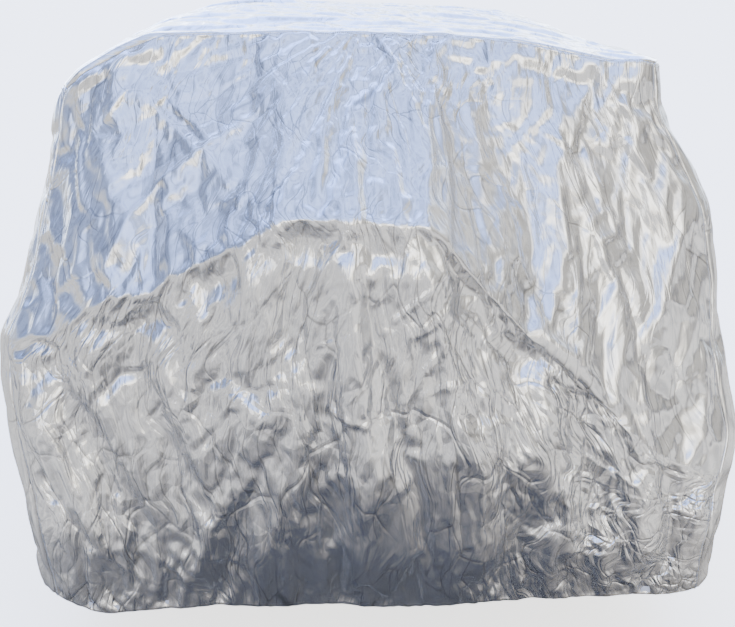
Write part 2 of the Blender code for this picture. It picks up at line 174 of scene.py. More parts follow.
RIDGE = (
    # x, height, y
    ( -0.95, 0.935,  0.035),
    ( -0.88, 0.945,  0.000),
    ( -0.80, 0.970, -0.045),
    ( -0.71, 1.035, -0.090),
    ( -0.63, 1.085, -0.125),
    ( -0.53, 1.100, -0.150),
    ( -0.47, 1.150, -0.175),
    ( -0.38, 1.195, -0.205),
    ( -0.29, 1.245, -0.245),
    (-0.205, 1.303, -0.285),
    ( -0.05, 1.310, -0.305),
    (  0.14, 1.287, -0.285),
    (  0.18, 1.255, -0.262),
    (  0.25, 1.160, -0.215),
    (  0.40, 0.990, -0.150),
    (  0.52, 0.885, -0.115),
    (  0.69, 0.705, -0.060),
    (  0.80, 0.620, -0.020),
    (  0.95, 0.560,  0.040),
)
RIDGE_ROW, RIDGE_EASE, RIDGE_LINE_EASE = 0.42, 0.008, 0.012
TENT_SAG, LEAST_RISE, PAST_ROOF = 0.030, 0.05, 1.2
TUCK, TUCK_DEPTH = 0.012, 0.060
WAIST_HEIGHT, SILL_HEIGHT = 0.66, 0.40
HANGING = (
    # x, y at the waist, sill, hem
    (-0.92,  0.005,  0.015,  0.075),
    (-0.70, -0.055, -0.030,  0.050),
    (-0.45, -0.115, -0.065,  0.040),
    (-0.22, -0.205, -0.110,  0.015),
    ( 0.00, -0.255, -0.140, -0.005),
    ( 0.22, -0.225, -0.125,  0.005),
    ( 0.45, -0.145, -0.080,  0.030),
    ( 0.70, -0.070, -0.040,  0.045),
    ( 0.92,  0.000,  0.005,  0.075),
)
HANG_EASE, HANG_EASE_OVER, HANG_ACROSS_EASE = 0.075, 0.2, 0.06
HEM_RISE = (
    # place along the back from -1 to 1, height above the average
    (-1.00, -0.012),
    (-0.88, -0.052),
    (-0.74, -0.038),
    (-0.40, -0.008),
    ( 0.10,  0.001),
    ( 0.70,  0.010),
    ( 1.00,  0.004),
)
HEM_RISE_EASE = 0.08
BACK_NET = (276, 1.9, (0.0,)), (348, 1.8, (0.0, 1.0))  # lines, length and seams, down and across
WELT_FROM, WELT_MIDDLE, WELT_TO, WELT_FALL, WELT_HIGH = 0.004, 0.008, 0.013, 0.005, 0.0014
WIDE_GAP = 0.03


def back_corner(height):
    return blend(BACK_CORNER_LOW, BACK_CORNER_TOP, smooth((height - CORNER_FROM) / CORNER_OVER))


def ridge(x):
    return [eased(RIDGE, i, x, RIDGE_LINE_EASE) for i in (1, 2)]


def back_field(x, height):
    """y of the back of the cover, its bends eased."""
    crest, crest_y = ridge(x)
    roof = eased(ROOF_END, 1, x, ROOF_END_EASE)
    waist, sill, hem = (eased(HANGING, i, x, HANG_ACROSS_EASE) for i in (1, 2, 3))
    waist_height = np.minimum(WAIST_HEIGHT, crest - 2 * TUCK_DEPTH)
    ease = blend(RIDGE_EASE, HANG_EASE, smooth((crest - height - TUCK_DEPTH) / HANG_EASE_OVER))
    total = 0
    for offset in BEND_STEPS:
        z = height + ease * offset
        up = np.clip((z - crest) / np.maximum(roof - crest, LEAST_RISE), 0, PAST_ROOF)
        tent = blend(crest_y, TAIL_Y, up) + TENT_SAG * 4 * up * np.clip(1 - up, 0, 1)
        down = np.clip((crest - z) / np.maximum(crest - waist_height, LEAST_RISE), 0, 1)
        tuck = TUCK * np.sin(math.pi * np.clip((crest - z) / (2 * TUCK_DEPTH), 0, 1))
        hang = blend(crest_y, waist, down) + tuck
        low = np.clip((waist_height - z) / (waist_height - SILL_HEIGHT), 0, 1)
        tucked = smooth((SILL_HEIGHT - z) / (SILL_HEIGHT - HEM_HEIGHT))
        under = np.where(z > SILL_HEIGHT, blend(waist, sill, low), blend(sill, hem, tucked))
        total = total + np.where(z > crest, tent, np.where(z > waist_height, hang, under))
    return total / len(BEND_STEPS)


def corner_width(side, height):
    """x of the back corner seam, halfway round the corner."""
    return half_width(side, np.array(TAIL_Y), height) - ROUND_TO_SEAM * back_corner(height)


def back_y(x, height):
    side = np.where(x < 0, -1, 1)
    radius = back_corner(height)
    flat = half_width(side, np.array(TAIL_Y), height) - radius
    return back_field(x, height) + turned(np.abs(x) - flat, radius)


def lined(count, length, seams):
    """Places of count + 1 lines of a net along a length, four of them close to a seam, and
    how far the double-stitched seams stand up at each, from 0 to 1."""
    near = np.array([0.0, WELT_FROM, WELT_MIDDLE, WELT_TO]) / length
    lines = {0.0, 1.0}
    for seam in seams:
        lines |= {round(float(seam + side * step), 7) for side in (-1, 1) for step in near}
    lines = sorted(line for line in lines if 0 <= line <= 1)
    gaps, spare = np.diff(lines), count + 1 - len(lines)
    wide = gaps > WIDE_GAP
    each = np.zeros(len(gaps), int)
    each[wide] = np.round(spare * gaps[wide] / gaps[wide].sum()).astype(int)
    each[int(np.argmax(gaps))] += spare - int(each.sum())
    places = [lines[0]]
    for start, end, more in zip(lines[:-1], lines[1:], each):
        places.extend(np.linspace(start, end, more + 2)[1:])
    places = np.array(places)
    far = np.min([np.abs(places - seam) * length for seam in seams], axis=0)
    return places, smooth(far / WELT_FROM) * smooth((WELT_TO - far) / WELT_FALL)


def netted(rows, columns):
    """Places of a net's rows and columns, both again for each of its points, and how far
    the seams stand up there."""
    (rows, row_welts), (columns, column_welts) = lined(*rows), lined(*columns)
    standing = np.minimum(column_welts[None, :] + row_welts[:, None], 1)
    return rows, columns, *np.meshgrid(rows, columns, indexing="ij"), WELT_HIGH * standing


def back_net(row_shares, column_shares):
    """Points of the rear panel before its creases, row by row from the roof's edge."""
    share, rows = column_shares[None, :], row_shares[:, None]
    roof_x = blend(ROOF_END[0][0], ROOF_END[-1][0], share)
    roof = eased(ROOF_END, 1, roof_x, ROOF_END_EASE)
    hem = HEM_HEIGHT + eased(HEM_RISE, 1, 2 * share - 1, HEM_RISE_EASE)
    above = np.clip(rows / RIDGE_ROW, 0, 1)
    below = np.clip((rows - RIDGE_ROW) / (1 - RIDGE_ROW), 0, 1)
    x = roof_x + 0 * rows
    for _ in range(4):
        crest = np.minimum(ridge(x)[0], roof - LEAST_RISE)
        height = roof + (crest - roof) * above + (hem - crest) * below
        x = blend(-corner_width(-1, height), corner_width(1, height), share)
    return np.stack([x, back_y(x, height), height], axis=-1)


def outward(points):
    """Unit normals of a net of points, outwards where rows run down and columns right."""
    across = np.gradient(points, axis=1)
    down = np.gradient(points, axis=0)
    normal = np.cross(across, -down)
    return normal / np.linalg.norm(normal, axis=2, keepdims=True)


def pushed(points, by, facing=1):
    """The net moved outwards by so much, for a net that faces out (1) or in (-1)."""
    return points + outward(points) * facing * np.asarray(by)[..., None]


back_rows, back_columns, down, place, welts = netted(*BACK_NET)
rear_smooth = back_net(back_rows, back_columns)

# Its folds: the main ones, creases laid in before the cloth settles, and finer ones over them.
BACK_FOLDS = (
    # x from, height, x to, height, half width, depth, in millimetres
    ( -35, 1290,   -6,  300, 45,  26),
    (   0, 1120,   92,  790, 42, -30),
    (  92,  790,  178,  330, 42, -32),
    ( 120, 1230,  250,  700, 65,  22),
    ( 270,  760,  300,  340, 55,  22),
    (-140, 1290, -190, 1000, 40, -36),
    (-190, 1000, -300,  850, 45, -26),
    (-130,  980, -100,  380, 45, -22),
    (-250, 1220, -330,  640, 55,  22),
    ( 235, 1130,  420,  905, 45, -30),
    (-700,  985, -480, 1030, 45, -24),
    (-420, 1120, -300, 1170, 45, -20),
    (-880,  840, -690,  360, 42,  26),
    (-800,  870, -560,  400, 45, -24),
    (-480,  920, -400,  440, 50,  22),
    (-600,  900, -330,  380, 45, -18),
    ( 330,  860,  400,  360, 50, -22),
    ( 430,  840,  520,  400, 50,  22),
    ( 520,  800,  660,  380, 50, -24),
    ( 640,  720,  740,  340, 42,  24),
    ( 780,  620,  830,  320, 42, -24),
    (-560, 1560, -300, 1330, 45,  18),
    (-330, 1600, -640, 1240, 45, -18),
    (-240, 1660,  -60, 1340, 45,  14),
    (  50, 1680,  140, 1380, 40,  16),
    ( 300, 1560,  420, 1120, 45, -24),
    ( 420, 1600,  600, 1140, 45,  22),
    ( 560, 1560,  760, 1140, 45, -24),
    (-740, 1500, -840, 1020, 40, -22),
    (-680, 1440, -560, 1160, 40,  20),
)
FIRST_CREASES = (
    # half width, depth, then a path of x and height, in millimetres
    (30, -14, -860, 590, -800, 500, -730, 375),
    (22, -12, -700, 790, -625, 865, -570, 877, -525, 910),
    (20, -9, -430, 685, -365, 757, -325, 815),
    (22, -12, -905, 910, -850, 940, -780, 928),
    (24, 12, -125, 1298, -152, 1187, -175, 1078, -180, 1020),
    (22, 10, -58, 1270, -96, 1190, -135, 1110, -163, 1030),
    (24, -9, -37, 1280, -14, 1175, 7, 1110, 12, 975, 24, 730),
    (22, 9, 37, 1090, 77, 950, 100, 815, 125, 730),
    (26, -14, 107, 1280, 175, 1220, 270, 1090),
    (28, -15, 384, 997, 547, 844, 626, 759, 687, 585),
    (26, 13, 400, 1010, 550, 865, 660, 720, 700, 660, 784, 610),
    (18, -9, 445, 877, 530, 820, 626, 755),
    (22, 10, 450, 735, 585, 630, 664, 575),
    (18, -8, 562, 700, 557, 478),
    (20, 10, 626, 620, 628, 545, 672, 395),
    (24, 10, 12, 1130, 95, 800, 148, 630, 185, 320),
    (26, -14, -774, 1170, -828, 1090, -800, 1050),
    (55, 26, -205, 1580, -397, 1425, -510, 1343, -577, 1270, -656, 1120),
    (24, 9, -254, 1466, -290, 1340, -400, 1307),
    (20, -9, -520, 1530, -397, 1430),
    (40, 18, -800, 1540, -750, 1585, -640, 1645, -528, 1680),
    (35, 14, -860, 1400, -830, 1280, -800, 1150),
    (20, -9, 449, 1500, 523, 1394, 580, 1280),
    (20, -8, 636, 1433, 708, 1343, 744, 1320),
    (18, 6, 167, 1565, 192, 1418, 185, 1200),
    (18, 6, -56, 1690, -100, 1500, -122, 1335),
)
CREASES = (
    (14, 5, -700, 684, -620, 491),
    (12, -5, -650, 660, -615, 530),
    (14, 5, -600, 700, -580, 530),
    (14, -5, -530, 700, -510, 450),
    (14, 5, -480, 580, -460, 435),
    (16, 6, -800, 690, -755, 497, -710, 420),
    (16, -6, -835, 680, -775, 540, -730, 380),
    (14, 6, -690, 365, -590, 275),
    (12, -5, -660, 415, -570, 285),
    (16, 6, -570, 355, -430, 275),
    (14, 5, -450, 385, -310, 330),
    (12, -4, -560, 746, -515, 808),
    (14, 6, -175, 1020, -250, 945),
    (12, -5, -175, 1020, -183, 970),
    (14, 5, -175, 1020, -155, 905),
    (12, 4, -125, 995, -80, 1005),
    (12, 4, 25, 1260, 23, 1160),
    (12, 4, -205, 1296, -200, 1180),
    (14, -5, -270, 1110, -250, 1030, -250, 945),
    (14, 6, 200, 1130, 165, 1070, 110, 1015),
    (12, 5, 143, 1145, 90, 1085, 53, 1045),
    (14, 5, 197, 1035, 93, 845),
    (14, 5, 270, 900, 185, 888, 125, 860),
    (14, 5, -97, 830, 0, 800, 20, 820),
    (10, -3, 24, 1130, 12, 700, 2, 300),
    (12, 5, 595, 675, 585, 575, 562, 472),
    (14, -5, 789, 585, 837, 420),
    (14, 5, 720, 575, 779, 495),
    (12, -4, 364, 505, 369, 375),
    (12, 5, 433, 1466, 518, 1394),
    (12, 5, 533, 1485, 564, 1367, 590, 1305),
    (14, -5, 377, 1428, 408, 1270, 428, 1156),
    (14, 5, 459, 1380, 474, 1270, 497, 1150),
    (12, 4, 331, 1343, 362, 1230),
    (14, 5, 228, 1380, 259, 1240, 269, 1150),
    (12, -4, 249, 1340, 315, 1137),
    (14, -5, 651, 1305, 667, 1160),
    (14, 5, 569, 1190, 631, 1047),
    (12, 4, 550, 1240, 610, 1260, 630, 1200, 575, 1185, 550, 1240),
    (12, 5, 733, 1640, 744, 1565, 736, 1485, 759, 1440, 779, 1343),
    (14, 6, -730, 1450, -730, 1385, -710, 1270),
    (10, 3, -690, 1437, -600, 1435),
    (10, 3, -660, 1150, -655, 960),
    (10, -3, -564, 1200, -560, 980),
    (10, 3, -505, 1240, -500, 1020),
    (10, 3, -418, 1300, -410, 1060),
    (10, -3, -323, 1360, -315, 1120),
    (10, 3, -220, 1420, -210, 1200),
    (10, 3, -295, 1690, -300, 1585),
    (10, 3, -215, 1690, -226, 1620),
    (10, 3, -564, 1413, -570, 1340),
    (10, 4, -600, 1560, -660, 1475),
    (12, 4, -82, 1700, -159, 1580),
    (10, 3, 40, 1690, 45, 1330),
    (10, -3, 85, 1690, 108, 1350),
    (12, 3, 147, 1680, 150, 1360),
)
FOLD_END, CREASE_SWELL, FACET_JITTER = 0.15, 0.4, 0.38
BACK_CRUSH = (
    # share above the ridge, then lean, times as long, pitch, depth, seed, width and slant
    (0.40,  0.00, 3.0, 0.070, 0.0100, 3),
    (0.35,  0.10, 3.6, 0.034, 0.0055, 5),
    (0.40, -0.12, 3.2, 0.020, 0.0022, 8, 1.0, 0.3),
)
FAN_HEIGHT, FAN_WIDE = 1.75, 1.1
HANGS_FROM, HANGS_OVER, FOLD_SHARES = 0.02, 0.10, (0.40, 0.80)
BACK_FREE, BACK_FULLER = 0.03, (0.025, 0.045)
RIDGE_GRIP, RIDGE_NEAR, CLOTH_GRIP = 0.7, 0.02, 0.10
BACK_DRAPE, BACK_SETTLE = (0.005, 30, 2), (0.004, 12, 1)  # slack, frames, halvings
DRAWN_IN = 0.4
STIFFNESS = {
    "quality": 4, "mass": 0.05, "vertex_group_mass": "held", "pin_stiffness": 20,
    "tension_stiffness": 20, "compression_stiffness": 20, "shear_stiffness": 8,
    "tension_damping": 2, "compression_damping": 2, "shear_damping": 2,
    "bending_stiffness": 0.02, "bending_damping": 0.2, "air_damping": 1,
}


def soft_fold(x, height, *millimetres):
    """A soft ridge (+) or trough (-) along a line, dying out at both ends."""
    x0, height0, x1, height1, half, depth = (size / 1000 for size in millimetres)
    run, rise = x1 - x0, height1 - height0
    length = math.hypot(run, rise)
    along = ((x - x0) * run + (height - height0) * rise) / length**2
    across = ((x - x0) * rise - (height - height0) * run) / length
    ends = smooth((along + FOLD_END) / (2 * FOLD_END)) * smooth((1 + FOLD_END - along) / (2 * FOLD_END))
    return depth * ends * np.exp(-((across / half) ** 2))


def crease(x, height, half, depth, *path):
    """A crease with flat flanks and a keen line along a path, dying out at its ends."""
    path, half, depth = np.reshape(path, (-1, 2)) / 1000, half / 1000, depth / 1000
    steps = np.linalg.norm(np.diff(path, axis=0), axis=1)
    before = np.concatenate([[0], np.cumsum(steps)])
    nearest, place = np.full(x.shape, np.inf), np.zeros(x.shape)
    for (x0, height0), (x1, height1), start, step in zip(path[:-1], path[1:], before, steps):
        share = ((x - x0) * (x1 - x0) + (height - height0) * (height1 - height0)) / step**2
        share = np.clip(share, 0, 1)
        far = np.hypot(x - x0 - share * (x1 - x0), height - height0 - share * (height1 - height0))
        place = np.where(far < nearest, (start + share * step) / before[-1], place)
        nearest = np.minimum(far, nearest)
    swell = np.clip(4 * place * (1 - place), 0, 1) ** CREASE_SWELL
    return depth * swell * np.clip(1 - nearest / half, 0, 1)


def facets(a, b, pitch, seed):
    """Heights from -1 to 1 of a sheet crushed into flat facets about a pitch wide."""
    rng = random.Random(seed)
    low_a, high_a, low_b, high_b = a.min(), a.max(), b.min(), b.max()
    sites = []
    for i in range(-1, int((high_a - low_a) / pitch) + 3):
        for j in range(-1, int((high_b - low_b) / pitch) + 3):
            across = low_a + pitch * (i + 0.5 * (j % 2) + rng.uniform(-FACET_JITTER, FACET_JITTER))
            down = low_b + pitch * (j + rng.uniform(-FACET_JITTER, FACET_JITTER))
            sites.append(Vector((across, down)))
    points, _, faces, *_ = delaunay_2d_cdt(sites, [], [], 0, 1e-6)
    corners = [Vector((p.x, p.y, rng.uniform(-1, 1) * pitch)) for p in points]
    sheet = BVHTree.FromPolygons(corners, [tuple(face) for face in faces])
    down = Vector((0, 0, -1))
    heights = np.zeros(a.size)
    for k, (u, v) in enumerate(zip(a.ravel(), b.ravel())):
        hit = sheet.ray_cast(Vector((u, v, 10)), down)[0]
        heights[k] = hit.z / pitch if hit else 0
    return heights.reshape(a.shape)


def crushed(across, down, lean, long, pitch, depth, seed, wide=1.0, slant=0.0):
    """How far crushed facets stand out that are drawn out down and across, and lean."""
    return depth * facets(across / wide + lean * down, down / long + slant * across, pitch, seed)


def clear_of(place, first, last):
    """0 at both ends of a length, and 1 further in than these shares of it."""
    return smooth(place / first) * smooth((1 - place) / last)


def net_of(points):
    """A new object whose mesh is a net of points."""
    rows, columns = points.shape[0] - 1, points.shape[1] - 1
    bpy.ops.mesh.primitive_grid_add(x_subdivisions=columns, y_subdivisions=rows)
    made = bpy.context.object
    made.data.vertices.foreach_set("co", np.float32(points).ravel())
    made.data.update()
    return made


def settled(points, longer, hold, slack, frames):
    """The net after a cloth simulation: cut longer than its place, it is drawn in to it
    and buckles, while a weak pull keeps it near the form underneath."""
    cloth = net_of(longer)
    cloth.shape_key_add(name="cut")
    placed = cloth.shape_key_add(name="placed")
    placed.data.foreach_set("co", np.float32(points).ravel())
    for value, when in ((0, 1), (1, int(DRAWN_IN * frames))):
        placed.value = value
        placed.keyframe_insert("value", frame=when)
    held = cloth.vertex_groups.new(name="held")
    for k, grip in enumerate(hold.ravel()):
        held.add([k], float(grip), "REPLACE")
    drape = cloth.modifiers.new("drape", "CLOTH")
    for setting, value in STIFFNESS.items():
        setattr(drape.settings, setting, value)
    drape.settings.shrink_min = drape.settings.shrink_max = -slack
    drape.settings.effector_weights.gravity = 0
    drape.point_cache.frame_start, drape.point_cache.frame_end = 1, frames
    scene = bpy.context.scene
    scene.frame_start, scene.frame_end = 1, frames
    for step in range(1, frames + 1):
        scene.frame_set(step)
    graph = bpy.context.evaluated_depsgraph_get()
    made = bpy.data.meshes.new_from_object(cloth.evaluated_get(graph))
    moved = np.empty(len(made.vertices) * 3, np.float32)
    made.vertices.foreach_get("co", moved)
    bpy.data.objects.remove(cloth)
    bpy.data.meshes.remove(made)
    scene.frame_set(1)
    return moved.reshape(points.shape).astype(float)


def finer(field):
    """A net's field with a line more between every two, by the four-point rule."""
    for _ in range(2):
        wide = np.concatenate([[2 * field[0] - field[1]], field, [2 * field[-1] - field[-2]]])
        between = (9 * (field[:-1] + field[1:]) - wide[:-3] - wide[3:]) / 16
        more = np.zeros((2 * len(field) - 1, *field.shape[1:]))
        more[::2], more[1::2] = field, between
        field = more.swapaxes(0, 1)
    return field


def draped(points, axis, fuller, hold, slack, frames, halvings):
    """A fine net settled through one that is halved so many times. It is cut fuller along
    an axis, with slack in its threads, and held all over by a grip from 0 to 1."""
    step, size = 2**halvings, points.shape[:2]
    coarse = points[::step, ::step]
    grips = np.broadcast_to(hold, size)[::step, ::step].copy()
    grips[0], grips[-1], grips[:, 0], grips[:, -1] = 1, 1, 1, 1
    longer = coarse.copy()
    longer[..., axis] *= 1 + np.broadcast_to(fuller, size)[::step, ::step]
    moved = settled(coarse, longer, grips, slack, frames) - coarse
    for _ in range(halvings):
        moved = finer(moved)
    return points + moved


x, height = rear_smooth[..., 0], rear_smooth[..., 2]
crest, _ = ridge(x)
hanging = smooth((crest - height + HANGS_FROM) / HANGS_OVER)
folds = sum(soft_fold(x, height, *row) for row in BACK_FOLDS) * blend(*FOLD_SHARES, hanging)
folds = folds + sum(crease(x, height, *row) for row in FIRST_CREASES)
fan, radius = np.arctan2(x, FAN_HEIGHT - height), np.hypot(x, FAN_HEIGHT - height)
big, mid, small = (
    crushed(*at, *row) * blend(above, 1.0, hanging)
    for at, (above, *row) in zip(((fan * FAN_WIDE, radius), (x, height), (x, height)), BACK_CRUSH)
)
free = clear_of(place, BACK_FREE, BACK_FREE) * smooth(down / BACK_FREE)
rear = pushed(rear_smooth, (folds + (big + mid)) * free)
grip = RIDGE_GRIP * np.exp(-(((crest - height) / RIDGE_NEAR) ** 2))
fuller = blend(*BACK_FULLER, down)
rear = draped(rear, 0, fuller, grip, *BACK_DRAPE)
rear = pushed(rear, (sum(crease(x, height, *row) for row in CREASES) + small) * free)
rear = draped(rear, 0, fuller / 2, np.maximum(grip, CLOTH_GRIP), *BACK_SETTLE)
rear = pushed(rear, welts)

# Its cloth: edges turned in at the seams, a hem turned up, and the film in the material.
CLOTH_TURN = 0.0025
HEM_TURNS = ((0.5, -0.0012), (1.0, 0.011), (1.2, 0.022))  # inwards in turns, upwards
FILM_TONES = (0.59, 0.583, 0.565, 1), (0.71, 0.70, 0.675, 1)
# Painted shade: a dark film tone mixed in along the crease lines, fading in and out.
CREASE_SHADE_TONE, CREASE_SHADE_SHARE, CREASE_SHADE_RANGE = (0.26, 0.255, 0.245, 1), 0.75, (0.42, 0.60)
BACKING = (0.42, 0.42, 0.43, 1)
METALLIC, ROUGHNESS = (0.90, 0.10), (0.13, 0.21)
CELLS, PATCHES, RELIEF = 16.0, 4.0, 0.0072
BACK_CRUMPLED, CRUMPLED_OVER = (0.48, 1.45), 0.06
WARP, WARP_SCALE, CALM_SCALE, CALM_RANGE = 0.12, 5.0, 3.0, (0.35, 0.65, 0.55, 1.25)
CRINKLES = (
    # drawn out, finer by, start, strength
    (0.16, 1.0, 0.0, 1.00),
    (0.50, 1.5, 3.7, 0.75),
    (0.45, 3.4, 8.1, 0.14),
)
GROOVES = (
    # drawn out, finer by, start, depth, strength, width of the line of painted shade
    (0.50, 0.62, 5.3, 0.045, 3.4, 0.024),
    (0.14, 1.30, 1.9, 0.060, 1.4, 0.040),
)


def hemmed(points, out):
    """The net with its edges turned in at the seams and its lower edge turned up."""
    turned_up = [
        points[-1] - out[-1] * CLOTH_TURN * inwards + np.array([0, 0, upwards])
        for inwards, upwards in HEM_TURNS
    ]
    first = points[:1] - out[:1] * CLOTH_TURN
    points = np.concatenate([first, points, np.stack(turned_up)])
    out = np.concatenate([out[:1], out, out[-1:], out[-1:], out[-1:]])
    left = points[:, :1] - out[:, :1] * CLOTH_TURN
    right = points[:, -1:] - out[:, -1:] * CLOTH_TURN
    return np.concatenate([left, points, right], axis=1)


def laid_flat(points):
    """Metres along and down the cloth for each point of a net, as it lay before sewing."""
    down = np.linalg.norm(np.diff(points, axis=0), axis=2).mean(axis=1)
    across = np.linalg.norm(np.diff(points, axis=1), axis=2).mean(axis=0)
    down, across = (np.concatenate([[0], np.cumsum(steps)]) for steps in (down, across))
    rows, columns = np.meshgrid(down, across, indexing="ij")
    return np.stack([columns, -rows], axis=-1)


def cloth_sheet(name, points, flip, node, crumpled):
    """A net of points as one sheet of cloth in the frame's place."""
    placed, flat = points - HOLD, laid_flat(points)
    crumpled = np.broadcast_to(crumpled, placed.shape[:2])
    if flip:
        placed, flat, crumpled = placed[::-1], flat[::-1], crumpled[::-1]
    sheet = net_of(placed)
    sheet.name = sheet.data.name = name
    corners = np.zeros(len(sheet.data.loops), np.int32)
    sheet.data.loops.foreach_get("vertex_index", corners)
    sheet.data.uv_layers[0].name = "cloth"
    flat = flat.reshape(-1, 2)[corners]
    sheet.data.uv_layers[0].data.foreach_set("uv", np.float32(flat).ravel())
    amount = sheet.data.attributes.new("crumpled", "FLOAT", "POINT")
    amount.data.foreach_set("value", np.float32(crumpled).ravel())
    sheet.data.materials.append(silver_film)
    sheet.data.shade_smooth()
    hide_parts(node)
    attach(sheet, "root")
    return sheet


def wired(tree, kind, output, inputs=(), **settings):
    """An output, or all outputs, of a new node with its settings made and its inputs given
    values or other nodes' outputs."""
    made = tree.nodes.new(kind)
    for name, value in settings.items():
        setattr(made, name, value)
    for label, value in dict(inputs).items():
        if isinstance(value, bpy.types.NodeSocket):
            tree.links.new(value, made.inputs[label])
        else:
            made.inputs[label].default_value = value
    return made.outputs[output] if output is not None else made.outputs


def maths(tree, operation, *values):
    return wired(tree, "ShaderNodeMath", 0, dict(enumerate(values)), operation=operation)


def vectors(tree, operation, *values, output=0):
    return wired(tree, "ShaderNodeVectorMath", output, dict(enumerate(values)), operation=operation)


def scaled(tree, vector, scale):
    inputs = {0: vector, "Scale": scale}
    return wired(tree, "ShaderNodeVectorMath", 0, inputs, operation="SCALE")


def ranged(tree, value, low, high, at_low=0.0, at_high=1.0, **settings):
    """What runs from at_low to at_high while the value runs from low to high."""
    inputs = {"Value": value, "From Min": low, "From Max": high, "To Min": at_low, "To Max": at_high}
    return wired(tree, "ShaderNodeMapRange", "Result", inputs, **settings)


def mixed(tree, kind, first, second, factor):
    inputs = {"A": first, "B": second, "Factor": factor}
    return wired(tree, "ShaderNodeMix", "Result", inputs, data_type=kind)


def group_of(name, kind, inputs, outputs):
    """An empty node group, and the sockets of its two end nodes."""
    group = bpy.data.node_groups.new(name, kind)
    for way, sockets in (("INPUT", inputs), ("OUTPUT", outputs)):
        for label, what in sockets.items():
            group.interface.new_socket(label, in_out=way, socket_type="NodeSocket" + what)
    return group, group.nodes.new("NodeGroupInput").outputs, group.nodes.new("NodeGroupOutput").inputs


def crinkle_group():
    """Height of a film's fine crinkles: flat cells with sharp edges, drawn out downwards, with grooves
    and long hair creases over them, and a mask of painted shade along the creases."""
    inputs = {"Vector": "Vector", "Cells per metre": "Float"}
    outputs = {"Height": "Float", "Crease shade": "Float"}
    group, given, wanted = group_of("film crinkle", "ShaderNodeTree", inputs, outputs)
    noise = {"Vector": given["Vector"], "Detail": 1.0}
    warp, calm = (
        wired(group, "ShaderNodeTexNoise", None, {**noise, "Scale": scale}, noise_dimensions="2D")
        for scale in (WARP_SCALE, CALM_SCALE)
    )
    shift = vectors(group, "MULTIPLY_ADD", warp["Color"], (WARP, WARP, 0.0), given["Vector"])

    def cells(drawn_out, finer_by, start):
        place = vectors(group, "MULTIPLY_ADD", shift, (1.0, drawn_out, 0.0), (start, start, 0.0))
        inputs = {"Vector": place, "Scale": maths(group, "MULTIPLY", given["Cells per metre"], finer_by)}
        settings = {"feature": "DISTANCE_TO_EDGE", "voronoi_dimensions": "2D"}
        return wired(group, "ShaderNodeTexVoronoi", "Distance", inputs, **settings)

    height, marks = 0.0, []
    for *shape, strength in CRINKLES:
        height = maths(group, "MULTIPLY_ADD", cells(*shape), strength, height)
    for *shape, depth, strength, wide in GROOVES:
        line = cells(*shape)
        height = maths(group, "MULTIPLY_ADD", maths(group, "MINIMUM", line, depth), strength, height)
        marks.append(ranged(group, line, 0.0, wide, 1.0, 0.0, interpolation_type="SMOOTHSTEP"))
    swell = ranged(group, calm["Fac"], *CALM_RANGE)
    group.links.new(maths(group, "MULTIPLY", height, swell), wanted["Height"])
    # Painted shade along the groove lines, fading in and out with the warp noise.
    crease_shade = ranged(group, warp["Fac"], *CREASE_SHADE_RANGE)
    creases = maths(group, "MULTIPLY", maths(group, "MAXIMUM", *marks), crease_shade)
    group.links.new(creases, wanted["Crease shade"])
    return group


def film():
    """The cover's cloth: a satin silver film outside, a paler dull backing inside."""
    material = bpy.data.materials.new("silver_film_cloth")
    material.use_nodes = True
    tree = material.node_tree
    uv = wired(tree, "ShaderNodeTexCoord", "UV")
    crinkle = {"Vector": uv, "Cells per metre": CELLS}
    crinkle = wired(tree, "ShaderNodeGroup", None, crinkle, node_tree=crinkle_group())
    mottle = {"Vector": uv, "Scale": PATCHES, "Detail": 4.0, "Roughness": 0.55}
    mottle = wired(tree, "ShaderNodeTexNoise", "Fac", mottle, noise_dimensions="2D")
    crumpled = wired(tree, "ShaderNodeAttribute", "Fac", attribute_name="crumpled")
    inside = wired(tree, "ShaderNodeNewGeometry", "Backfacing")
    height = maths(tree, "MULTIPLY", crinkle["Height"], crumpled)
    bump = {"Strength": 1.0, "Distance": RELIEF, "Height": height}
    # Painted shade: the film darkened along the crease lines.
    crease_shade = maths(tree, "MULTIPLY", crinkle["Crease shade"], CREASE_SHADE_SHARE)
    outside = mixed(tree, "RGBA", mixed(tree, "RGBA", *FILM_TONES, mottle), CREASE_SHADE_TONE, crease_shade)
    finish = {
        "Base Color": mixed(tree, "RGBA", outside, BACKING, inside),
        "Metallic": ranged(tree, inside, 0.0, 1.0, *METALLIC),
        "Roughness": ranged(tree, mottle, 0.0, 1.0, *ROUGHNESS),
        "Normal": wired(tree, "ShaderNodeBump", "Normal", bump),
    }
    for label, value in finish.items():
        tree.links.new(value, tree.nodes["Principled BSDF"].inputs[label])
    return material


# Its thread: grey polyester, in stitches along the seams.
STITCH_PITCH, STITCH_LENGTH, STITCH_THICK, STITCH_SWAY = 0.0052, 0.0034, 0.0008, 0.12
STITCH_LINE = 2


